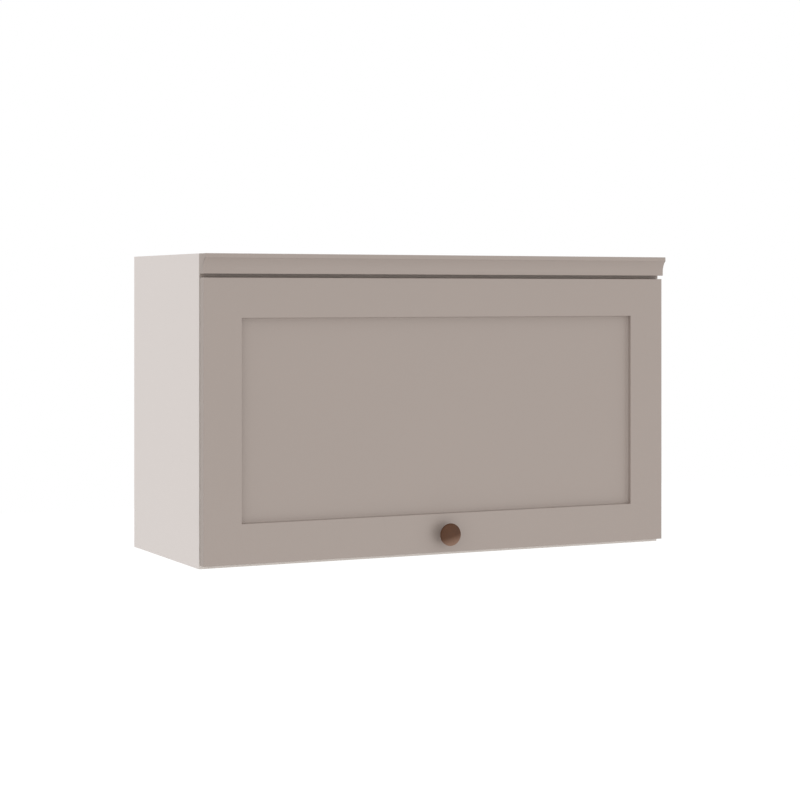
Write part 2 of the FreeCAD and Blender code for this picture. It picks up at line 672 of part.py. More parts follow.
def bracket_pin():
    """Rivet in the left door bracket that the link turns on."""
    head = rivet_head(-INNER + LINK_START - 0.2, BRACKET_Y, BRACKET_Z, 4.5, -1)
    reach = EAR_START + EAR_THICKNESS - LINK_START
    return fuse(head, rod((-INNER + LINK_START - 0.5, BRACKET_Y, BRACKET_Z), (1, 0, 0), 2.5, reach + 0.5))


def bracket_screws():
    """Two screws that hold the left bracket to the door's frame."""
    x = -INNER + EAR_START + 10.5
    heights = (BRACKET_Z - 17.0, BRACKET_Z + 17.0)
    return [Screw((x, DOOR_BACK + 2.0, z), (0, -1, 0), 13.5, 1.9, 3.8, 1.6) for z in heights]


def door_bracket():
    """Left bracket: a foot on the back of the door and an ear for the link's pin."""
    x0, x1 = layer(EAR_START, EAR_THICKNESS)
    foot = box(x0, x0 + 18.0, DOOR_BACK, DOOR_BACK + 2.0, BRACKET_Z - 25, BRACKET_Z + 25)
    upright = [e for e in foot.Edges if abs(e.tangentAt(e.FirstParameter).y) > 0.9]
    outer = [e for e in upright if e.CenterOfMass.x > x0 + 1]
    foot = foot.makeFillet(5.0, outer)
    web = along_x(
        polygon([
            (DOOR_BACK, BRACKET_Z - 22), (DOOR_BACK, BRACKET_Z + 22),
            (BRACKET_Y + 3.5, BRACKET_Z + 6), (BRACKET_Y + 3.5, BRACKET_Z - 6),
        ]), x0, x1,
    )
    tip = rod((x0, BRACKET_Y, BRACKET_Z), (1, 0, 0), 7.0, EAR_THICKNESS)
    return seat(fuse(foot, web, tip), bracket_pin(), *blanks(bracket_screws()))


def spring_carriage():
    """Left carriage: a rounded nose that follows the cam, a block and two rods inside the springs."""
    x0, x1 = layer(MECHANISM_START, MECHANISM_THICKNESS)
    nose_y = LEVER_Y + CAM_REACH
    rear = nose_y + CARRIAGE_LENGTH
    nose = rod((x0, nose_y, LEVER_Z), (1, 0, 0), FOLLOWER_RADIUS, x1 - x0)
    block = box(x0, x1, nose_y, rear, LEVER_Z - 20, LEVER_Z + 20)
    rods = [rod((MIDDLE, rear, LEVER_Z + s * SPRING_SPREAD), (0, 1, 0), 2.8, 50.0) for s in (-1, 1)]
    return fuse(nose, block, *rods)


def lift_springs():
    """The two compression springs of the left fitting, as sleeves of the coils' size."""
    rear = LEVER_Y + CAM_REACH + CARRIAGE_LENGTH
    springs = []
    for side in (-1, 1):
        start = (MIDDLE, rear, LEVER_Z + side * SPRING_SPREAD)
        outer = rod(start, (0, 1, 0), SPRING_RADIUS, STOP_FRONT - rear)
        springs.append(outer.cut(rod(start, (0, 1, 0), SPRING_RADIUS - SPRING_WIRE, STOP_FRONT - rear)))
    return springs


def spring_stop():
    """Rear abutment of the left springs, held forward by the adjuster."""
    x0, x1 = layer(MECHANISM_START, MECHANISM_THICKNESS)
    block = box(x0, x1, STOP_FRONT, STOP_FRONT + 5, LEVER_Z - 20, LEVER_Z + ADJUSTER_RISE + 6)
    return seat(block, adjuster_screw().blank())


def adjuster_screw():
    """Long screw that sets the left springs' preload, turned from the front."""
    neck = HOUSING_FRONT + 3.6
    at = (MIDDLE, neck, LEVER_Z + ADJUSTER_RISE)
    return Screw(at, (0, 1, 0), STOP_FRONT + 5 - neck, 2.0, 3.5, 3.0, pointed=False, proud=True)


# Assembly ---------------------------------------------------------------------------------------


def carcass_nodes():
    """The boards, rails, edge bands and joinery of the carcass."""
    dowels = wood_dowels()
    rail_screws, crown_screws = fascia_screws(), moulding_screws()
    joinery = cam_seats() + dowels
    plate_seats = blanks(paired(hinge_plate_screws()))
    wall = side_panel(joinery + blanks(base_screws()))
    upper_low = TOP_BOARD_LOW - UPPER_RAIL_HEIGHT
    return {
        "side_panel_left": [wall],
        "side_panel_right": [mirror(wall)],
        "top_panel": [cross_board(TOP_BOARD_LOW, joinery + blanks(rail_screws) + plate_seats)],
        "bottom_panel": [cross_board(0, joinery)],
        "back_panel": [back_panel()],
        "hanging_rail_upper": [hanging_rail(upper_low, UPPER_RAIL_HEIGHT, dowels + wall_holes())],
        "hanging_rail_lower": [hanging_rail(BOARD, LOWER_RAIL_HEIGHT, dowels)],
        "fascia_rail": [fascia_rail(blanks(rail_screws + crown_screws))],
        "crown_moulding": [crown_moulding(blanks(crown_screws))],
        "edge_band_left": [edge_band(-HALF, -INNER, 0, HEIGHT)],
        "edge_band_right": [edge_band(INNER, HALF, 0, HEIGHT)],
        "edge_band_bottom": [edge_band(-INNER, INNER, 0, BOARD)],
        "edge_band_top": [edge_band(-INNER, INNER, TOP_BOARD_LOW, TOP_BOARD_TOP)],
        "cam_bolts": cam_bolts(),
        "cam_locks": cam_locks(),
        "wood_dowels": dowels,
        "fascia_screws": rail_screws,
        "moulding_screws": crown_screws,
    }


def door_nodes():
    """The door leaf and what is fixed to it on the middle line or as identical pieces."""
    cup_seat = rod((-HINGE_X, DOOR_BACK + 1, CUP_Z), (0, -1, 0), CUP_RADIUS, CUP_DEPTH + 1)
    screws = paired(hinge_cup_screws() + bracket_screws()) + [knob_screw()]
    return {
        "door_leaf": [door_leaf(both(cup_seat) + blanks(screws))],
        "knob": [seat(knob(), knob_screw().blank())],
        "knob_screw": [knob_screw()],
        "door_bumpers": door_bumpers(),
        "hinge_pins": both(hinge_pin()),
        "hinge_cup_screws": paired(hinge_cup_screws()),
        "bracket_screws": paired(bracket_screws()),
        "bracket_pins": both(bracket_pin()),
    }


def fitting_nodes():
    """Hinges and lift fittings: small pieces shared by both sides, then one node for each side."""
    nodes = {
        "hinge_plate_screws": paired(hinge_plate_screws()),
        "hinge_arm_screws": paired(hinge_arm_screws()),
        "lift_base_screws": paired(base_screws()),
        "lift_springs_left": lift_springs(),
        "lift_springs_right": [mirror(spring) for spring in lift_springs()],
        "lift_spring_stops": both(spring_stop()),
        "lift_adjuster_screws": paired([adjuster_screw()]),
    }
    for make in (
        hinge_cup, hinge_arm, hinge_plate, lift_base, lift_cover, cam_shaft, lift_lever, elbow_pin,
        lift_link, door_bracket, spring_carriage,
    ):
        left = make()
        nodes[make.__name__ + "_left"] = [left]
        nodes[make.__name__ + "_right"] = [mirror(left)]
    return nodes


def main():
    """Writes one STEP file for each node."""
    os.makedirs("parts", exist_ok=True)
    for name, pieces in {**carcass_nodes(), **door_nodes(), **fitting_nodes()}.items():
        shapes = [piece.solid() if isinstance(piece, Screw) else piece for piece in pieces]
        solids = [solid for shape in shapes for solid in shape.Solids]
        whole = solids[0] if len(solids) == 1 else Part.makeCompound(solids)
        if not whole.isValid() or len(solids) != len(pieces):
            raise ValueError(f"{name}: {len(solids)} solids from {len(pieces)} pieces")
        whole.translate(Vector(0, 0, -WALL_HOLE_Z))
        whole.exportStep(f"parts/{name}.step")
        print(name, len(solids), round(whole.Volume))


main()
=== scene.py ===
"""Dresses the lift-up wall cabinet: its finishes, its coil springs and its run of crown moulding.

Everything is in metres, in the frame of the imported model: +Z is up, -Y is the front where the door
is, X runs along the width, and the origin is on the wall plane midway between the wall screws.
"""

from __future__ import annotations

import json
import logging
import math
from dataclasses import dataclass
from enum import Enum

import bpy
import numpy as np
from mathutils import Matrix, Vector

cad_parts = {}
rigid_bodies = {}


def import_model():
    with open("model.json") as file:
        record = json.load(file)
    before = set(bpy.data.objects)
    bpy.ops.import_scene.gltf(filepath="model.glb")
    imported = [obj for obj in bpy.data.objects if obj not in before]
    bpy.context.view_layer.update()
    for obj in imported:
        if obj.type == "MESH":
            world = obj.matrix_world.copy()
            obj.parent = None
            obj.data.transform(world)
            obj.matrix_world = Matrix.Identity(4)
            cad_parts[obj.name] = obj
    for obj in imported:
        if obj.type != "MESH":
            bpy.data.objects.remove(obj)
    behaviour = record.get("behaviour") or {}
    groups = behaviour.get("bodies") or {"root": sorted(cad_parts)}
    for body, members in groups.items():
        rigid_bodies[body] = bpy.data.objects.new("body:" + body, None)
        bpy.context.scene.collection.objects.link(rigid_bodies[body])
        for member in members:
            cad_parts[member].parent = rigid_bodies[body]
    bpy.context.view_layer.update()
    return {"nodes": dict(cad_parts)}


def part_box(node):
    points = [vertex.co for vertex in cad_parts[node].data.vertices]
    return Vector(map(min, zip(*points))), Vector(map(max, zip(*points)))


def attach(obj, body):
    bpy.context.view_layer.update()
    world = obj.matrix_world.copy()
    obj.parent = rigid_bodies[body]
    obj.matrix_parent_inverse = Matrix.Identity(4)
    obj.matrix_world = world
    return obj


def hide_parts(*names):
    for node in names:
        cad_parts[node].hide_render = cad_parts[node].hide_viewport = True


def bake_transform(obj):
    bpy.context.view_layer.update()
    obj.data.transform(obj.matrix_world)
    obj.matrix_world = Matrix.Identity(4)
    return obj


log = logging.getLogger("wall_cabinet")

MM = 0.001

Colour = tuple[float, float, float, float]
Triple = tuple[float, float, float]
Box = tuple[Vector, Vector]

WHITE: Colour = (1.0, 1.0, 1.0, 1.0)

# The Mix node's sockets for two colours, by number, because other sockets bear the same names.
MIX_SHARE, MIX_FIRST, MIX_SECOND, MIX_RESULT = 0, 6, 7, 2


def srgb(red: int, green: int, blue: int) -> Colour:
    """Turns a colour as it is seen, 0 to 255, into the linear one that a shader takes.

    Args:
        red: red as displayed.
        green: green as displayed.
        blue: blue as displayed.

    Returns:
        Linear red, green, blue and an alpha of 1.
    """
    seen = np.array([red, green, blue]) / 255.0
    linear = np.where(seen <= 0.04045, seen / 12.92, ((seen + 0.055) / 1.055) ** 2.4)
    return (*linear.tolist(), 1.0)


def shaded(colour: Colour, factor: float) -> Colour:
    """Returns a linear colour made lighter or darker by a factor."""
    return (*(min(1.0, part * factor) for part in colour[:3]), 1.0)


# Shader maths -------------------------------------------------------------------------------------


class Signal:
    """A number inside a material, on which Python's operators add Math nodes."""

    def __init__(self, graph: Graph, socket: bpy.types.NodeSocket) -> None:
        """Keeps the graph that the number belongs to and the socket that it comes out of."""
        self.graph = graph
        self.socket = socket

    def __add__(self, other: Signal | float) -> Signal:
        """Adds."""
        return self.graph.math("ADD", self, other)

    def __radd__(self, other: float) -> Signal:
        """Adds, with the number on the left."""
        return self.graph.math("ADD", other, self)

    def __sub__(self, other: Signal | float) -> Signal:
        """Subtracts."""
        return self.graph.math("SUBTRACT", self, other)

    def __rsub__(self, other: float) -> Signal:
        """Subtracts from the number on the left."""
        return self.graph.math("SUBTRACT", other, self)

    def __mul__(self, other: Signal | float) -> Signal:
        """Multiplies."""
        return self.graph.math("MULTIPLY", self, other)

    def __rmul__(self, other: float) -> Signal:
        """Multiplies, with the number on the left."""
        return self.graph.math("MULTIPLY", other, self)

    def __truediv__(self, other: Signal | float) -> Signal:
        """Divides."""
        return self.graph.math("DIVIDE", self, other)

    def __rtruediv__(self, other: float) -> Signal:
        """Divides the number on the left."""
        return self.graph.math("DIVIDE", other, self)

    def __pow__(self, other: Signal | float) -> Signal:
        """Raises to a power."""
        return self.graph.math("POWER", self, other)

    def __rpow__(self, other: float) -> Signal:
        """Raises the number on the left to this power."""
        return self.graph.math("POWER", other, self)

    def __abs__(self) -> Signal:
        """Drops the sign."""
        return self.graph.math("ABSOLUTE", self)

    def least(self, other: Signal | float) -> Signal:
        """Returns the smaller of the two."""
        return self.graph.math("MINIMUM", self, other)

    def most(self, other: Signal | float) -> Signal:
        """Returns the larger of the two."""
        return self.graph.math("MAXIMUM", self, other)

    def sine(self) -> Signal:
        """Returns the sine."""
        return self.graph.math("SINE", self)

    def step(self, low: float, high: float) -> Signal:
        """Rises smoothly from 0 at low to 1 at high.

        Args:
            low: where it starts to rise.
            high: where it is whole.

        Returns:
            The eased value, kept within 0 and 1.
        """
        made = self.graph.node(
            "ShaderNodeMapRange",
            {"interpolation_type": "SMOOTHSTEP"},
            {"Value": self, "From Min": low, "From Max": high, "To Min": 0.0, "To Max": 1.0},
        )
        return Signal(self.graph, made.outputs["Result"])


class Graph:
    """The node tree of one material, whose patterns lie on the object's own coordinates."""

    def __init__(self, name: str) -> None:
        """Makes an empty material of that name.

        Args:
            name: the material's name.
        """
        self.material = bpy.data.materials.new(name)
        self.material.use_nodes = True
        self.tree = self.material.node_tree
        self.tree.nodes.clear()
        self.place = self.node("ShaderNodeTexCoord")
        apart = self.node("ShaderNodeSeparateXYZ", {}, {"Vector": self.place.outputs["Object"]})
        facing = self.node("ShaderNodeSeparateXYZ", {}, {"Vector": self.place.outputs["Normal"]})
        self.x, self.y, self.z = (Signal(self, socket) for socket in apart.outputs)
        self.facing = tuple(Signal(self, socket) for socket in facing.outputs)

    def node(
        self,
        kind: str,
        settings: dict[str, object] | None = None,
        values: dict[str | int, object] | None = None,
    ) -> bpy.types.Node:
        """Adds any node.

        Args:
            kind: the node's type.
            settings: its properties, set first; "stops" are a colour ramp's (place, colour) pairs.
            values: socket by name or number, with a plain value, a Signal or another node's socket.

        Returns:
            The new node.
        """
        made = self.tree.nodes.new(kind)
        for name, value in (settings or {}).items():
            if name == "stops":
                self._set_stops(made.color_ramp, value)
            else:
                setattr(made, name, value)
        for name, value in (values or {}).items():
            if isinstance(value, Signal):
                self.tree.links.new(value.socket, made.inputs[name])
            elif isinstance(value, bpy.types.NodeSocket):
                self.tree.links.new(value, made.inputs[name])
            else:
                made.inputs[name].default_value = value
        return made

    @staticmethod
    def _set_stops(ramp: bpy.types.ColorRamp, stops: list[tuple[float, Colour]]) -> None:
        """Gives a colour ramp its stops, lowest first.

        Args:
            ramp: the colour ramp.
            stops: places from 0 to 1 and colours.
        """
        while len(ramp.elements) < len(stops):
            ramp.elements.new(1.0)
        for element, (place, colour) in zip(ramp.elements, stops):
            element.position = place
            element.color = colour

    def math(self, operation: str, *values: Signal | float) -> Signal:
        """Adds one Math node on one or two numbers and returns its result."""
        made = self.node("ShaderNodeMath", {"operation": operation}, dict(enumerate(values)))
        return Signal(self, made.outputs[0])

    def stretched(self, stretch: Triple) -> bpy.types.NodeSocket:
        """Returns the object's coordinates, each scaled by its own factor."""
        made = self.node(
            "ShaderNodeVectorMath",
            {"operation": "MULTIPLY"},
            {0: self.place.outputs["Object"], 1: stretch},
        )
        return made.outputs["Vector"]

    def noise(
        self,
        scale: float,
        detail: float,
        roughness: float = 0.5,
        stretch: Triple = (1.0, 1.0, 1.0),
    ) -> Signal:
        """Adds cloudy noise on the object's coordinates.

        Args:
            scale: clouds per metre.
            detail: how many finer layers it has.
            roughness: how strong the finer layers are.
            stretch: factors on the coordinates; a small one draws the clouds out along that axis.

        Returns:
            The noise, mostly 0.3 to 0.7.
        """
        made = self.node(
            "ShaderNodeTexNoise",
            {},
            {
                "Vector": self.stretched(stretch),
                "Scale": scale,
                "Detail": detail,
                "Roughness": roughness,
            },
        )
        return Signal(self, made.outputs["Fac"])

    def cells(self, scale: float, stretch: Triple) -> tuple[Signal, Signal]:
        """Adds a pattern of small cells.

        Args:
            scale: cells per metre.
            stretch: factors on the coordinates.

        Returns:
            The distance from each cell's middle, and a number picked for each cell.
        """
        vector = self.stretched(stretch)
        made = self.node("ShaderNodeTexVoronoi", {}, {"Vector": vector, "Scale": scale})
        picked = self.node("ShaderNodeSeparateColor", {}, {"Color": made.outputs["Color"]})
        return Signal(self, made.outputs["Distance"]), Signal(self, picked.outputs["Red"])

    def blend(self, share: Signal | float, first: object, second: object) -> bpy.types.NodeSocket:
        """Mixes two colours.

        Args:
            share: how much of the second colour there is.
            first: a colour or a colour socket.
            second: a colour or a colour socket.

        Returns:
            The mixed colour's socket.
        """
        made = self.node(
            "ShaderNodeMix",
            {"data_type": "RGBA"},
            {MIX_SHARE: share, MIX_FIRST: first, MIX_SECOND: second},
        )
        return made.outputs[MIX_RESULT]

    def shades(
        self, share: Signal, colour: Colour, dark: float, light: float
    ) -> bpy.types.NodeSocket:
        """Returns a colour that runs from one shade of itself to another."""
        return self.blend(share, shaded(colour, dark), shaded(colour, light))

    def ramp(self, value: Signal, stops: list[tuple[float, Colour]]) -> bpy.types.NodeSocket:
        """Returns the colour that a ramp gives for a number."""
        return self.node("ShaderNodeValToRGB", {"stops": stops}, {"Fac": value}).outputs["Color"]

    def bump(self, height: Signal, distance: float) -> bpy.types.NodeSocket:
        """Returns a normal bent by a height from 0 to 1 that stands for a depth in metres."""
        made = self.node(
            "ShaderNodeBump", {}, {"Strength": 1.0, "Distance": distance, "Height": height}
        )
        return made.outputs["Normal"]

    def depth(self, box: Box, axis: int) -> Signal:
        """Way from a point to the nearer of a block's two faces across an axis.

        Args:
            box: the block's lowest and highest corners.
            axis: 0 for X, 1 for Y and 2 for Z.

        Returns:
            The depth in metres.
        """
        low, high = box[0][axis], box[1][axis]
        return (high - low) / 2 - abs((self.x, self.y, self.z)[axis] - (low + high) / 2)

    def edge_distance(self, box: Box) -> Signal:
        """Distance from a point on a block's face to the block's nearest edge.

        On a face one of the three depths below the block's faces is 0, so the middle one of the
        three is the way to the nearest edge: max(min(a, b), min(max(a, b), c)).

        Args:
            box: the block's lowest and highest corners.

        Returns:
            The distance in metres.
        """
        a, b, c = (self.depth(box, axis) for axis in range(3))
        return a.least(b).most(a.most(b).least(c))

    def edges(self, box: Box, width: float) -> Signal:
        """Returns 1 on a block's edges, falling to 0 at that distance from them."""
        return 1 - self.edge_distance(box).step(0.0, width)

    def close(
        self,
        colour: object,
        roughness: Signal | float,
        normal: bpy.types.NodeSocket | None = None,
        **plain: float,
    ) -> bpy.types.Material:
        """Ends the graph in a Principled shader.

        Args:
            colour: the base colour or its socket.
            roughness: the roughness or its Signal.
            normal: a bent normal.
            plain: other sockets' plain numbers, with _ for each space in their names.

        Returns:
            The finished material.
        """
        values = {"Base Color": colour, "Roughness": roughness}
        if normal is not None:
            values["Normal"] = normal
        values.update({name.replace("_", " "): number for name, number in plain.items()})
        shader = self.node("ShaderNodeBsdfPrincipled", {}, values)
        self.node("ShaderNodeOutputMaterial", {}, {"Surface": shader.outputs["BSDF"]})
        return self.material


# Finishes -----------------------------------------------------------------------------------------


@dataclass(frozen=True)
class Lacquer:
    """Matte sprayed lacquer on fibreboard: faint orange peel, worn a little pale on the edges.

    Where a piece has a frame of some width round a sunk field, shade is painted into the field's
    corners as a darker tone.
    """

    colour: Colour = srgb(171, 158, 150)
    worn: Colour = srgb(192, 181, 173)
    roughness: float = 0.46
    rub: float = 1.1 * MM
    relief: float = 0.035 * MM
    frame: float = 0.0
    sunk: float = 8.0 * MM
    # How strongly shade is painted into the sunk field's corners.
    dust_and_shade: float = 0.16

    def material(self, name: str, box: Box) -> bpy.types.Material:
        """Makes the lacquer for a piece that fills the box.

        Args:
            name: the material's name.
            box: the piece's lowest and highest corners.

        Returns:
            The material.
        """
        graph = Graph(name)
        clouds = graph.noise(5.0, detail=3.0)
        mist = graph.noise(700.0, detail=1.0)
        peel = graph.noise(330.0, detail=2.0)
        tone = clouds * 0.7 + mist * 0.3
        body = graph.shades(tone, self.colour, 0.96, 1.04)
        edge = graph.edges(box, self.rub)
        wear_and_highlight = edge * graph.noise(70.0, detail=4.0, roughness=0.65).step(0.48, 0.66)
        colour = graph.blend(wear_and_highlight * 0.45, body, self.worn)
        if self.frame:
            # Painted shade: the corners of the sunk field are darkened towards a deep tone of the
            # lacquer.
            corner_shade = self.corner(graph, box) * self.dust_and_shade
            colour = graph.blend(corner_shade, colour, shaded(self.colour, 0.3))
        gloss = self.roughness + (clouds - 0.5) * 0.14 + (mist - 0.5) * 0.08 - wear_and_highlight * 0.1
        return graph.close(colour, gloss, graph.bump(peel * 0.8 + mist * 0.2, self.relief))

    def corner(self, graph: Graph, box: Box) -> Signal:
        """Returns 1 in the corner at the foot of the frame's inner walls, where the shade is painted
        in.

        Args:
            graph: the material's graph.
            box: the piece's lowest and highest corners.

        Returns:
            The mask.
        """
        inside = graph.depth(box, 0).least(graph.depth(box, 2)) - self.frame
        near = (1 - inside.step(0.2 * MM, 2.2 * MM)) * inside.step(-0.2 * MM, 0.0)
        depth = graph.y - box[0].y
        deep = depth.step(self.sunk - 6.0 * MM, self.sunk - 3.5 * MM)
        return near * deep * (1 - depth.step(self.sunk + 1.0 * MM, self.sunk + 2.0 * MM))


class RawFace(Enum):
    """Which faces of a foiled board show its chipboard core."""

    BACK = "back"
    ENDS = "ends"


@dataclass(frozen=True)
class FoiledBoard:
    """Chipboard in off-white foil with a faint pearl texture; its core shows where it is cut."""

    raw: RawFace
    colour: Colour = srgb(230, 221, 216)
    core: Colour = srgb(204, 180, 146)
    roughness: float = 0.42
    rub: float = 0.7 * MM
    relief: float = 0.3 * MM

    def material(self, name: str, box: Box) -> bpy.types.Material:
        """Makes the foil, and the core on the faces that are left raw.

        Args:
            name: the material's name.
            box: the piece's lowest and highest corners.

        Returns:
            The material.
        """
        graph = Graph(name)
        clouds = graph.noise(6.0, detail=3.0)
        pearl = graph.noise(1150.0, detail=1.5, roughness=0.6)
        edge = graph.edges(box, self.rub)
        scuffed = edge * graph.noise(95.0, detail=4.0, roughness=0.7).step(0.5, 0.7)
        body = graph.shades(clouds, self.colour, 0.975, 1.02)
        body = graph.blend(scuffed * 0.35, body, shaded(self.core, 1.25))
        gloss = self.roughness + (clouds - 0.5) * 0.12 + (pearl - 0.5) * 0.1
        distance, pick = graph.cells(560.0, (0.6, 0.6, 1.0))
        fine, fine_pick = graph.cells(1700.0, (1.0, 0.7, 1.0))
        chips = graph.ramp(
            pick * 0.65 + fine_pick * 0.35,
            [
                (0.06, shaded(self.core, 0.48)),
                (0.26, shaded(self.core, 0.84)),
                (0.6, self.core),
                (0.95, shaded(self.core, 1.28)),
            ],
        )
        bare = self.bare(graph)
        colour = graph.blend(bare, body, chips)
        height = (distance * 0.6 + fine * 0.4) * bare * 0.9 + pearl * (1 - bare) * 0.06
        return graph.close(colour, gloss + bare * 0.4, graph.bump(height, self.relief))

    def bare(self, graph: Graph) -> Signal:
        """Returns 1 on the faces that are left raw and 0 elsewhere."""
        _, back, up = graph.facing
        return (back if self.raw is RawFace.BACK else abs(up)).step(0.6, 0.8)


@dataclass(frozen=True)
class BackBoard:
    """Thin fibreboard: printed white inside, bare brown outside with the press screen's imprint."""

    inside: Colour = srgb(238, 232, 227)
    outside: Colour = srgb(150, 112, 78)
    screen: float = 1.7 * MM
    relief: float = 0.14 * MM

    def material(self, name: str, box: Box) -> bpy.types.Material:
        """Makes both faces; the screen's imprint is a sine along X times a sine along Z.

        Args:
            name: the material's name.
            box: the piece's lowest and highest corners.

        Returns:
            The material.
        """
        graph = Graph(name)
        brown = 1 - (graph.facing[1] * -1).step(0.5, 0.7)
        clouds = graph.noise(9.0, detail=4.0)
        fibres = graph.noise(420.0, detail=5.0, roughness=0.7, stretch=(0.35, 1.0, 1.0))
        turn = 2 * math.pi / self.screen
        mesh = (graph.x * turn).sine() * (graph.z * turn).sine() * 0.5 + 0.5
        bare = graph.ramp(
            fibres * 0.78 + clouds * 0.22,
            [
                (0.3, shaded(self.outside, 0.62)),
                (0.5, self.outside),
                (0.7, shaded(self.outside, 1.4)),
            ],
        )
        bare = graph.blend((1 - mesh) * 0.3, bare, shaded(self.outside, 0.5))
        white = graph.shades(clouds, self.inside, 0.97, 1.02)
        colour = graph.blend(brown, white, bare)
        height = (mesh * 0.7 + fibres * 0.5) * brown + fibres * 0.05
        gloss = 0.5 + (clouds - 0.5) * 0.1 + brown * 0.3
        return graph.close(colour, gloss, graph.bump(height, self.relief))


@dataclass(frozen=True)
class EdgeBand:
    """Glued band on a board's front edge: satin, with faint lines from the scraper along it."""

    colour: Colour = srgb(224, 216, 209)
    glue: Colour = srgb(150, 138, 118)
    along_x: bool = False
    rub: float = 0.4 * MM
    relief: float = 0.02 * MM

    def material(self, name: str, box: Box) -> bpy.types.Material:
        """Makes the band, with a thin darker glue line where it meets the board.

        Args:
            name: the material's name.
            box: the piece's lowest and highest corners.

        Returns:
            The material.
        """
        graph = Graph(name)
        stretch = (0.02, 1.0, 1.0) if self.along_x else (1.0, 1.0, 0.02)
        scraped = graph.noise(2200.0, detail=2.0, stretch=stretch)
        clouds = graph.noise(12.0, detail=3.0)
        seam = 1 - (box[1].y - graph.y).step(0.02 * MM, 0.16 * MM)
        body = graph.shades(clouds, self.colour, 0.97, 1.02)
        body = graph.blend(seam * 0.5, body, self.glue)
        nicked = graph.edges(box, self.rub) * clouds.step(0.5, 0.62)
        colour = graph.blend(nicked * 0.2, body, shaded(self.colour, 0.8))
        gloss = 0.38 + (scraped - 0.5) * 0.3
        return graph.close(colour, gloss, graph.bump(scraped, self.relief))


@dataclass(frozen=True)
class StainedWood:
    """Dark stained and lacquered hardwood turned along Y: rings on the face, pores along the side.

    The knob's lower edge, leaning to one side, is painted paler: a painted highlight where its face
    catches the light.
    """

    colour: Colour = srgb(94, 59, 35)
    dark: Colour = srgb(50, 30, 20)
    # The painted highlight's colour, and how far the highlight leans towards +X.
    pale: Colour = srgb(150, 119, 101)
    lean: float = 0.28
    pith: tuple[float, float] = (34.0 * MM, -21.0 * MM)
    ring: float = 2.1 * MM
    relief: float = 0.025 * MM

    def material(self, name: str, box: Box) -> bpy.types.Material:
        """Makes the wood; the rings are distances from a pith that lies off to one side.

        Args:
            name: the material's name.
            box: the piece's lowest and highest corners.

        Returns:
            The material.
        """
        graph = Graph(name)
        middle = (box[0] + box[1]) / 2
        across = graph.x - (middle.x + self.pith[0])
        up = graph.z - (middle.z + self.pith[1])
        wander = graph.noise(55.0, detail=3.0, stretch=(1.0, 0.25, 1.0))
        radius = (across * across + up * up) ** 0.5 + (wander - 0.5) * 0.005
        rings = (radius * (2 * math.pi / self.ring)).sine() * 0.5 + 0.5
        late = rings ** 3
        pores = graph.noise(2600.0, detail=2.0, roughness=0.6, stretch=(1.0, 0.07, 1.0))
        open_pores = pores.step(0.56, 0.66)
        clouds = graph.noise(60.0, detail=3.0, stretch=(1.0, 0.4, 1.0))
        body = graph.shades(clouds.step(0.3, 0.7), self.colour, 0.86, 1.0)
        body = graph.blend(late * 0.34, body, self.dark)
        body = graph.blend(open_pores * 0.5, body, self.dark)
        reach = (box[1].x - box[0].x) / 2
        # Painted highlight: paler towards the knob's lower edge and towards +X, with a blotchy
        # border.
        lowness = ((middle.z - graph.z) + (graph.x - middle.x) * self.lean) / reach
        wear_and_highlight = (lowness + (wander - 0.5) * 0.5).step(0.05, 0.95)
        colour = graph.blend(wear_and_highlight * 0.85, body, self.pale)
        gloss = 0.52 + open_pores * 0.14 + (clouds - 0.5) * 0.12 + wear_and_highlight * 0.1
        height = rings * 0.25 + (1 - open_pores) * 0.6
        return graph.close(colour, gloss, graph.bump(height, self.relief), Specular_IOR_Level=0.3)


@dataclass(frozen=True)
class Beech:
    """Raw beech dowels: pale, with short brown flecks along the grain and pressed flutes."""

    colour: Colour = srgb(218, 186, 142)
    fleck: Colour = srgb(160, 112, 70)
    relief: float = 0.12 * MM

    def material(self, name: str, box: Box) -> bpy.types.Material:
        """Makes the wood with its grain along X.

        Args:
            name: the material's name.
            box: the piece's lowest and highest corners.

        Returns:
            The material.
        """
        graph = Graph(name)
        grain = graph.noise(900.0, detail=3.0, stretch=(0.06, 1.0, 1.0))
        flecks = graph.noise(1500.0, detail=1.0, stretch=(0.16, 1.0, 1.0)).step(0.62, 0.7)
        body = graph.shades(grain, self.colour, 0.82, 1.1)
        colour = graph.blend(flecks * 0.7, body, self.fleck)
        return graph.close(colour, 0.62 + (grain - 0.5) * 0.2, graph.bump(grain, self.relief))


@dataclass(frozen=True)
class PlatedSteel:
    """Plated steel: cloudy plating over rolled sheet, with fine scratches and dull patches."""

    colour: Colour
    tarnish: Colour
    roughness: float
    rolled: Triple = (1.0, 0.03, 1.0)
    rub: float = 0.5 * MM
    relief: float = 0.006 * MM

    def material(self, name: str, box: Box) -> bpy.types.Material:
        """Makes the metal, a little duller in the patches and brighter along worn edges.

        Args:
            name: the material's name.
            box: the piece's lowest and highest corners.

        Returns:
            The material.
        """
        graph = Graph(name)
        lines = graph.noise(2400.0, detail=3.0, roughness=0.6, stretch=self.rolled)
        patches = graph.noise(160.0, detail=4.0, roughness=0.6)
        spots = graph.noise(900.0, detail=2.0).step(0.6, 0.72)
        dull = patches.step(0.42, 0.7)
        edge = graph.edges(box, self.rub)
        body = graph.shades(lines, self.colour, 0.93, 1.06)
        body = graph.blend(dull * 0.22 + spots * 0.05, body, self.tarnish)
        colour = graph.blend(edge * patches * 0.35, body, shaded(self.colour, 1.3))
        gloss = self.roughness + dull * 0.06 + (lines - 0.5) * 0.1
        height = lines * 0.8 + patches * 0.2
        return graph.close(colour, gloss, graph.bump(height, self.relief), Metallic=1.0)


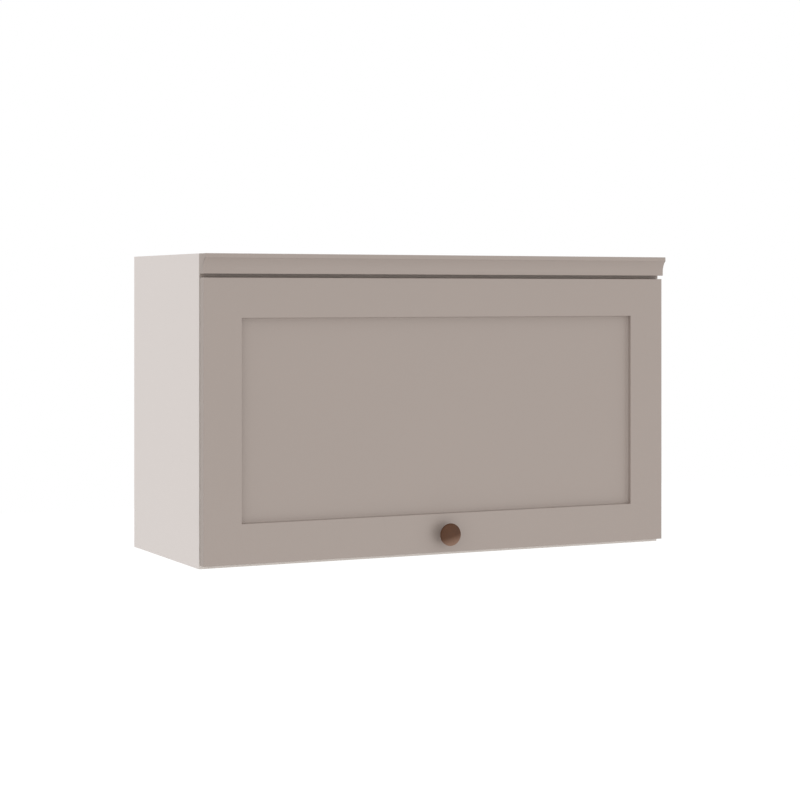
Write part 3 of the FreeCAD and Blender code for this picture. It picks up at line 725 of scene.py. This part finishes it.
@dataclass(frozen=True)
class MouldedPlastic:
    """Moulded plastic with the mould's fine spark texture and a pressed line inside its outline,
    with painted shade in the line.
    """

    colour: Colour
    roughness: float = 0.48
    line: float = 0.0
    rub: float = 0.8 * MM
    relief: float = 0.1 * MM

    def material(self, name: str, box: Box) -> bpy.types.Material:
        """Makes the plastic; the pressed line runs that far inside the outline seen along X.

        Args:
            name: the material's name.
            box: the piece's lowest and highest corners.

        Returns:
            The material.
        """
        graph = Graph(name)
        spark = graph.noise(1900.0, detail=2.0, roughness=0.65)
        flow = graph.noise(30.0, detail=2.0, stretch=(1.0, 0.5, 1.0))
        edge = graph.edges(box, self.rub)
        body = graph.shades(flow, self.colour, 0.93, 1.05)
        colour = graph.blend(edge * spark.step(0.45, 0.6) * 0.25, body, shaded(self.colour, 1.2))
        height = spark * 0.12 + flow * 0.05
        gloss = self.roughness + (spark - 0.5) * 0.2 - edge * 0.08
        if self.line:
            inside = graph.depth(box, 1).least(graph.depth(box, 2))
            groove = 1 - abs(inside - self.line).step(0.4 * MM, 0.9 * MM)
            height = height + (1 - groove) * 0.85
            # Painted shade: the pressed line's colour is darkened, as if shade lay in it.
            colour = graph.blend(groove * 0.5, colour, shaded(self.colour, 0.6))
        return graph.close(colour, gloss, graph.bump(height, self.relief))


@dataclass(frozen=True)
class SoftRubber:
    """Soft clear-grey bumper with a slightly tacky skin that holds specks of grime."""

    colour: Colour = srgb(206, 206, 203)
    relief: float = 0.05 * MM

    def material(self, name: str, box: Box) -> bpy.types.Material:
        """Makes the rubber.

        Args:
            name: the material's name.
            box: the piece's lowest and highest corners.

        Returns:
            The material.
        """
        graph = Graph(name)
        skin = graph.noise(800.0, detail=3.0)
        dust_and_shade = graph.noise(240.0, detail=4.0).step(0.45, 0.7)
        body = graph.shades(skin, self.colour, 0.9, 1.05)
        colour = graph.blend(dust_and_shade * 0.35, body, shaded(self.colour, 0.72))
        return graph.close(colour, 0.45 + dust_and_shade * 0.25, graph.bump(skin, self.relief))


ZINC = PlatedSteel(srgb(186, 190, 194), srgb(140, 142, 140), 0.3)
NICKEL = PlatedSteel(srgb(204, 202, 198), srgb(168, 163, 155), 0.28, relief=0.004 * MM)
DRAWN_WIRE = PlatedSteel(
    srgb(122, 124, 128), srgb(70, 66, 60), 0.32, rolled=(1.0, 1.0, 1.0), relief=0.01 * MM
)
CARRIAGE = MouldedPlastic(srgb(70, 72, 76))
COVER = MouldedPlastic(srgb(206, 205, 202), 0.44, line=4.0 * MM, relief=0.25 * MM)
# Painted light: a lighter, warmer copy of the taupe lacquer for the fascia rail, which is seen only
# in the shaded gap under the moulding.
FASCIA_LIT_LACQUER = Lacquer(colour=srgb(178, 158, 143))

Finish = (
    Lacquer | FoiledBoard | BackBoard | EdgeBand | StainedWood | Beech
    | PlatedSteel | MouldedPlastic | SoftRubber
)


# Surfaces -----------------------------------------------------------------------------------------


def placed(name: str, data: bpy.types.ID) -> bpy.types.Object:
    """Returns a new object in the scene, at the origin, that holds a mesh, a lamp or a camera.

    Args:
        name: the object's name.
        data: what it holds.

    Returns:
        The new object.
    """
    made = bpy.data.objects.new(name, data)
    bpy.context.scene.collection.objects.link(made)
    return made


def shell(name: str, rings: np.ndarray) -> bpy.types.Object:
    """Makes a closed skin over a row of rings, with a flat face over the first and the last ring.

    Point (i, j) of the grid is joined to (i + 1, j) along the row and to (i, j + 1) round the ring,
    where the last point of a ring meets its first.

    Args:
        name: the new piece's name.
        rings: points of shape (rings, points in a ring, 3), each ring running anticlockwise when
            seen from the end of the row.

    Returns:
        The new object, at the origin, with its place in its mesh.
    """
    rows, around = rings.shape[:2]
    index = np.arange(rows * around).reshape(rows, around)
    ahead = np.roll(index, -1, axis=1)
    quads = np.stack([index[:-1], ahead[:-1], ahead[1:], index[1:]], axis=-1).reshape(-1, 4)
    faces = quads.tolist() + [index[0, ::-1].tolist(), index[-1].tolist()]
    mesh = bpy.data.meshes.new(name)
    mesh.from_pydata(rings.reshape(-1, 3).tolist(), [], faces)
    mesh.update()
    return placed(name, mesh)


def soften(piece: bpy.types.Object, angle: float) -> None:
    """Shades a piece smooth, but keeps the edges sharper than an angle in degrees crisp.

    Args:
        piece: the piece.
        angle: the least angle of a crisp edge.
    """
    mesh = piece.data
    mesh.polygons.foreach_set("use_smooth", np.ones(len(mesh.polygons), bool))
    mesh.set_sharp_from_angle(angle=math.radians(angle))


def arc_through(
    start: tuple[float, float], middle: tuple[float, float], end: tuple[float, float], count: int
) -> np.ndarray:
    """Points on the circle through three points: centre + radius (cos a, sin a), a in even steps.

    Args:
        start: the first point.
        middle: a point on the way.
        end: the last point.
        count: how many points.

    Returns:
        An array of shape (count, 2).
    """
    a, b, c = (np.array(point, float) for point in (start, middle, end))
    sides = 2 * np.array([b - a, c - a])
    centre = np.linalg.solve(sides, np.array([b @ b - a @ a, c @ c - a @ a]))
    angles = np.unwrap(np.arctan2(*(np.array([a, b, c]) - centre).T[::-1]))
    swept = np.linspace(angles[0], angles[2], count)[:, None]
    radius = np.linalg.norm(a - centre)
    return centre + radius * np.hstack([np.cos(swept), np.sin(swept)])


def eased(corners: np.ndarray, reach: np.ndarray, steps: int) -> np.ndarray:
    """Rounds a closed outline: at each corner P a curve (1-s)^2 A + 2s(1-s) P + s^2 B.

    A and B lie back and ahead of the corner by its reach. A corner of no reach stays one point.

    Args:
        corners: the outline, of shape (n, 2).
        reach: how far each corner's curve reaches along its two sides.
        steps: points on a curve.

    Returns:
        The rounded outline, of shape (m, 2).
    """
    back = np.roll(corners, 1, axis=0) - corners
    ahead = np.roll(corners, -1, axis=0) - corners
    unit_back = back / np.linalg.norm(back, axis=1, keepdims=True)
    unit_ahead = ahead / np.linalg.norm(ahead, axis=1, keepdims=True)
    a = corners + unit_back * reach[:, None]
    b = corners + unit_ahead * reach[:, None]
    s = np.linspace(0, 1, steps)[None, :, None]
    curve = (1 - s) ** 2 * a[:, None] + 2 * s * (1 - s) * corners[:, None] + s**2 * b[:, None]
    kept = (reach[:, None] > 0) | (np.arange(steps)[None, :] == 0)
    return curve[kept]


# Sub-assemblies -----------------------------------------------------------------------------------


class Side(Enum):
    """The two sides of the cabinet, seen from the front."""

    LEFT = "left"
    RIGHT = "right"

    @property
    def sign(self) -> float:
        """Which way the side lies along X."""
        return -1.0 if self is Side.LEFT else 1.0


def each_side(*stems: str) -> list[str]:
    """Returns the left and the right node's name for each stem."""
    return [f"{stem}_{side.value}" for stem in stems for side in Side]


@dataclass
class Assembly:
    """Part of the cabinet: the CAD nodes that it dresses and the pieces that it adds."""

    nodes: dict[str, bpy.types.Object]
    title: str = "assembly"

    def dress(self, finish: Finish, *names: str) -> None:
        """Gives CAD nodes a finish fitted to each node's own box.

        Args:
            finish: the finish.
            names: the nodes' names.
        """
        for name in names:
            mesh = self.nodes[name].data
            mesh.materials.clear()
            mesh.materials.append(finish.material(f"{type(finish).__name__}.{name}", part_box(name)))
            log.info("%s: %s in %s", self.title, name, type(finish).__name__)

    def add(self, piece: bpy.types.Object, finish: Finish, slot: str, *nodes: str) -> None:
        """Finishes a new piece and lets it stand for CAD nodes.

        Args:
            piece: the new object.
            finish: what it is finished in.
            slot: the record's material slot; not used.
            nodes: the CAD nodes that it stands for.
        """
        corners = np.array([corner[:] for corner in piece.bound_box])
        box = Vector(corners.min(axis=0)), Vector(corners.max(axis=0))
        piece.data.materials.append(finish.material(f"{type(finish).__name__}.{piece.name}", box))
        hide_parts(*nodes)
        count = len(piece.data.polygons)
        log.info("%s: new %s, %d faces, stands for %s", self.title, piece.name, count, nodes)


@dataclass
class Carcass(Assembly):
    """Boards, bands and joinery of the box that hangs on the wall."""

    title: str = "carcass"

    def build(self) -> None:
        """Dresses the boards, their front bands and the fasteners inside them."""
        boards = each_side("side_panel") + ["top_panel", "bottom_panel"]
        self.dress(FoiledBoard(raw=RawFace.BACK), *boards)
        self.dress(FoiledBoard(raw=RawFace.ENDS), "hanging_rail_upper", "hanging_rail_lower")
        self.dress(BackBoard(), "back_panel")
        self.dress(EdgeBand(), *each_side("edge_band"))
        self.dress(EdgeBand(along_x=True), "edge_band_top", "edge_band_bottom")
        self.dress(ZINC, "cam_bolts", "cam_locks", "fascia_screws", "moulding_screws")
        self.dress(Beech(), "wood_dowels")
        self.dress(FASCIA_LIT_LACQUER, "fascia_rail")


@dataclass
class CrownMoulding(Assembly):
    """Moulding over the door: an upright nose, a quirk, a hollow cove and a flat foot."""

    title: str = "moulding"
    half: float = 400.0
    top: float = 91.5
    low: float = 61.5
    lip_low: float = 56.5
    back: float = -300.0
    lip: float = -303.0
    foot: float = -319.0
    nose: float = -327.0
    quirk: float = 1.2
    nose_height: float = 6.5
    cove_low: float = 70.5
    hollow: tuple[float, float] = (-321.1, 77.2)
    arris: float = 0.3
    rounding: float = 1.0
    ease: float = 0.45
    cove_points: int = 22
    corner_points: int = 6
    end_rows: int = 5
    run_rows: int = 9
    run_share: float = 0.8
    crisp: float = 34.0

    def profile(self) -> np.ndarray:
        """Returns the outline across its length, as (y, z) in millimetres, with eased corners.

        Returns:
            An array of shape (n, 2).
        """
        nose_low = self.top - self.nose_height
        cove = arc_through(
            (self.foot, self.cove_low),
            self.hollow,
            (self.nose + self.quirk, nose_low),
            self.cove_points,
        )
        before = [(self.back, self.top), (self.back, self.lip_low), (self.lip, self.lip_low)]
        before += [(self.lip, self.low), (self.foot, self.low)]
        after = [(self.nose, nose_low), (self.nose, self.top)]
        corners = np.vstack([before, cove, after])
        reach = np.zeros(len(corners))
        reach[:3] = self.arris
        reach[len(before) - 1] = self.rounding
        reach[-2] = self.ease
        reach[-1] = self.rounding
        return eased(corners, reach, self.corner_points)

    def surface(self) -> np.ndarray:
        """The outline carried along X, and drawn in towards its middle to round off each end.

        With e for the ease and a from 0 to a quarter turn, the outline at the place
        half - e (1 - sin a) is drawn in by e (1 - cos a).

        Returns:
            Rings of points, in metres.
        """
        outline = self.profile()
        ahead = np.roll(outline, -1, axis=0) - np.roll(outline, 1, axis=0)
        inward = np.stack([-ahead[:, 1], ahead[:, 0]], axis=1)
        inward /= np.linalg.norm(inward, axis=1, keepdims=True)
        middle = (outline.min(axis=0) + outline.max(axis=0)) / 2
        inward *= np.sign(((middle - outline) * inward).sum())
        a = np.linspace(0, np.pi / 2, self.end_rows)
        x = self.half - self.ease * (1 - np.sin(a))
        inset = self.ease * (1 - np.cos(a))
        run = np.linspace(-self.run_share, self.run_share, self.run_rows) * self.half
        stations = np.concatenate([-x[::-1], run, x])
        insets = np.concatenate([inset[::-1], np.zeros(self.run_rows), inset])
        flat = outline[None] + inward[None] * insets[:, None, None]
        along = np.broadcast_to(stations[:, None, None], (*flat.shape[:2], 1))
        return np.concatenate([along, flat], axis=2) * MM

    def build(self) -> None:
        """Makes the run of moulding that stands for the CAD one."""
        piece = shell("crown_moulding_run", self.surface())
        soften(piece, self.crisp)
        self.add(piece, Lacquer(), "taupe_lacquer", "crown_moulding")
        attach(piece, "carcass")


@dataclass
class Door(Assembly):
    """Framed door leaf with its knob and its two soft bumpers."""

    title: str = "door"
    frame: float = 60.0

    def build(self) -> None:
        """Dresses the leaf, the turned knob, its screw and the bumpers."""
        self.dress(Lacquer(frame=self.frame * MM), "door_leaf")
        self.dress(StainedWood(), "knob")
        self.dress(ZINC, "knob_screw")
        self.dress(SoftRubber(), "door_bumpers")


@dataclass
class CupHinges(Assembly):
    """The two cup hinges under the top board."""

    title: str = "hinges"

    def build(self) -> None:
        """Dresses the pressed cups, arms and plates, and their pins and screws."""
        self.dress(NICKEL, *each_side("hinge_cup", "hinge_arm", "hinge_plate"), "hinge_pins")
        self.dress(ZINC, "hinge_plate_screws", "hinge_arm_screws", "hinge_cup_screws")


@dataclass
class LiftFittings(Assembly):
    """The two spring lifts: housing, cam, lever, link, bracket and a pair of coil springs each."""

    title: str = "lifts"
    axis_x: float = 375.0
    axis_z: float = -5.6
    spread: float = 13.0
    front: float = -180.2
    rear: float = -100.0
    coil_radius: float = 5.0
    wire_radius: float = 1.0
    turns: float = 12.0
    closed_turns: float = 0.8
    closed_pitch: float = 2.05
    eased_turns: float = 1.4
    eased_rise: float = 1.2
    steps_in_turn: int = 30
    points_in_section: int = 12
    crisp: float = 50.0
    end_coil: float = 2.0

    def spring(self, x: float, z: float) -> np.ndarray:
        """One compression spring with closed ends, as a tube round a helix.

        The wire's middle turns evenly round the axis, centre + R (cos a, sin a), while it moves
        along it slowly in the first and last turn and evenly between them. The tube is
        middle + r (cos v outward + sin v sideways), with sideways = direction x outward.

        Args:
            x: the axis's place along X, in millimetres.
            z: the axis's height, in millimetres.

        Returns:
            Rings of points, in metres.
        """
        count = int(self.turns * self.steps_in_turn) + 1
        turn = np.linspace(0, self.turns, count)
        first, last = self.front + self.wire_radius, self.rear - self.wire_radius
        shut, free, pitch = self.closed_turns, self.eased_turns, self.closed_pitch
        knots = [0.0, shut, free, self.turns - free, self.turns - shut, self.turns]
        rise = [0.0, shut * pitch, free * pitch + self.eased_rise]
        places = [first + step for step in rise] + [last - step for step in rise[::-1]]
        y = np.interp(turn, knots, places)
        angle = 2 * np.pi * turn
        outward = np.stack([np.cos(angle), np.zeros(count), np.sin(angle)], axis=1)
        middle = np.stack([np.full(count, x), y, np.full(count, z)], axis=1)
        middle = middle + self.coil_radius * outward
        direction = np.gradient(middle, axis=0)
        direction /= np.linalg.norm(direction, axis=1, keepdims=True)
        sideways = np.cross(direction, outward)
        v = np.linspace(0, 2 * np.pi, self.points_in_section, endpoint=False)[None, :, None]
        ring = np.cos(v) * outward[:, None] + np.sin(v) * sideways[:, None]
        return (middle[:, None] + self.wire_radius * ring) * MM

    def springs(self, side: Side) -> bpy.types.Object:
        """Makes one side's two springs as a single piece.

        Args:
            side: the side of the cabinet.

        Returns:
            The new object, at the origin.
        """
        x = side.sign * self.axis_x
        pair = [
            shell(f"spring_{n}", self.spring(x, self.axis_z + way * self.spread))
            for n, way in enumerate((-1, 1))
        ]
        with bpy.context.temp_override(active_object=pair[0], selected_editable_objects=pair):
            bpy.ops.object.join()
        pair[0].name = f"lift_coils_{side.value}"
        soften(pair[0], self.crisp)
        return pair[0]

    def build(self) -> None:
        """Makes the coil springs and dresses the rest."""
        for side in Side:
            piece = self.springs(side)
            self.add(piece, DRAWN_WIRE, "spring_steel", f"lift_springs_{side.value}")
            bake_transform(piece)
        self.dress(COVER, *each_side("lift_cover"))
        self.dress(CARRIAGE, *each_side("spring_carriage"))
        self.dress(NICKEL, *each_side("lift_lever", "lift_link", "door_bracket", "lift_base"))
        self.dress(ZINC, *each_side("cam_shaft", "elbow_pin"), "bracket_pins", "bracket_screws")
        self.dress(ZINC, "lift_base_screws", "lift_adjuster_screws", "lift_spring_stops")


# Studio -------------------------------------------------------------------------------------------


@dataclass(frozen=True)
class Lamp:
    """A square soft lamp: where it hangs, its side in metres and its power in watts."""

    name: str
    place: Triple
    size: float
    power: float

    def hang(self, target: Vector) -> None:
        """Hangs the lamp so that it points at a target.

        Args:
            target: what it points at.
        """
        data = bpy.data.lights.new(self.name, "AREA")
        data.shape = "SQUARE"
        data.size = self.size
        data.energy = self.power
        lamp = placed(self.name, data)
        lamp.location = self.place
        lamp.visible_camera = False
        way = target - Vector(self.place)
        lamp.rotation_euler = way.to_track_quat("-Z", "Y").to_euler()


LAMPS = (
    Lamp("key", (2.2, -5.0, -0.1), 3.4, 23.0),
    Lamp("low", (0.6, -2.8, -1.65), 2.2, 6.0),
    Lamp("fill", (-3.4, -2.4, 0.4), 2.0, 8.0),
    Lamp("behind", (0.1, 3.2, 2.0), 2.8, 34.0),
)


@dataclass
class Studio:
    """Plain white surroundings, soft lamps and the photograph's camera."""

    ambient: float = 0.79
    floor_z: float = -1.85
    floor_half: float = 14.0
    floor_glow: float = 1.32
    glow_share: float = 0.62
    aim: Triple = (0.0, -0.15, -0.14)
    eye: Triple = (-1.448144, -3.142653, 0.031227)
    heading: float = -25.865
    lens: float = 91.829
    sensor: float = 36.0
    shift: float = -0.1323

    def seen_straight(self, tree: bpy.types.NodeTree) -> bpy.types.NodeSocket:
        """Adds a number that is 1 for rays from the camera, off gloss or through glass, else 0.

        Args:
            tree: the material's or the world's node tree.

        Returns:
            The number's socket.
        """
        path = tree.nodes.new("ShaderNodeLightPath")
        total = path.outputs["Is Camera Ray"]
        for name in ("Is Glossy Ray", "Is Transmission Ray"):
            more = tree.nodes.new("ShaderNodeMath")
            more.operation = "MAXIMUM"
            tree.links.new(total, more.inputs[0])
            tree.links.new(path.outputs[name], more.inputs[1])
            total = more.outputs[0]
        return total

    def world(self) -> None:
        """Lights the object evenly and shows white wherever the background is seen."""
        world = bpy.data.worlds.new("studio")
        bpy.context.scene.world = world
        world.use_nodes = True
        tree = world.node_tree
        tree.nodes.clear()
        light, white = (tree.nodes.new("ShaderNodeBackground") for _ in range(2))
        light.inputs["Color"].default_value = WHITE
        light.inputs["Strength"].default_value = self.ambient
        white.inputs["Color"].default_value = WHITE
        mix = tree.nodes.new("ShaderNodeMixShader")
        tree.links.new(self.seen_straight(tree), mix.inputs[0])
        tree.links.new(light.outputs[0], mix.inputs[1])
        tree.links.new(white.outputs[0], mix.inputs[2])
        out = tree.nodes.new("ShaderNodeOutputWorld")
        tree.links.new(mix.outputs[0], out.inputs["Surface"])

    def floor(self) -> None:
        """Lays a pale floor that looks white but still darkens where the cabinet shades it."""
        half, z = self.floor_half, self.floor_z
        mesh = bpy.data.meshes.new("floor")
        corners = [(-half, -half, z), (half, -half, z), (half, half, z), (-half, half, z)]
        mesh.from_pydata(corners, [], [(0, 1, 2, 3)])
        plane = placed("floor", mesh)
        graph = Graph("floor")
        dust_and_shade = graph.noise(1.5, detail=2.0)
        pale = graph.blend(dust_and_shade, srgb(236, 236, 236), srgb(240, 240, 240))
        matt = graph.node("ShaderNodeBsdfDiffuse", {}, {"Color": pale})
        glow = graph.node("ShaderNodeEmission", {}, {"Strength": self.floor_glow})
        share = Signal(graph, self.seen_straight(graph.tree)) * self.glow_share
        both = {0: share, 1: matt.outputs[0], 2: glow.outputs[0]}
        mix = graph.node("ShaderNodeMixShader", {}, both)
        graph.node("ShaderNodeOutputMaterial", {}, {"Surface": mix.outputs[0]})
        mesh.materials.append(graph.material)

    def camera(self) -> None:
        """Stands the camera level and left of the middle, as in the photograph, its view low."""
        data = bpy.data.cameras.new("camera")
        data.sensor_width = self.sensor
        data.lens = self.lens
        data.shift_y = self.shift
        camera = placed("camera", data)
        camera.location = self.eye
        camera.rotation_euler = (math.radians(90.0), 0.0, math.radians(self.heading))
        bpy.context.scene.camera = camera

    def build(self) -> None:
        """Sets up the surroundings, the lamps and the camera."""
        bpy.context.scene.view_settings.view_transform = "Standard"
        self.world()
        self.floor()
        for lamp in LAMPS:
            lamp.hang(Vector(self.aim))
        self.camera()


def main() -> None:
    """Loads the frame, builds each sub-assembly in order and sets up the studio."""
    logging.basicConfig(level=logging.INFO, format="%(name)s: %(message)s")
    for leftover in list(bpy.data.objects):
        bpy.data.objects.remove(leftover)
    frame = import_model()
    nodes = frame["nodes"]
    for part in (Carcass, CrownMoulding, Door, CupHinges, LiftFittings):
        part(nodes).build()
    Studio().build()


if __name__ == "__main__":
    main()
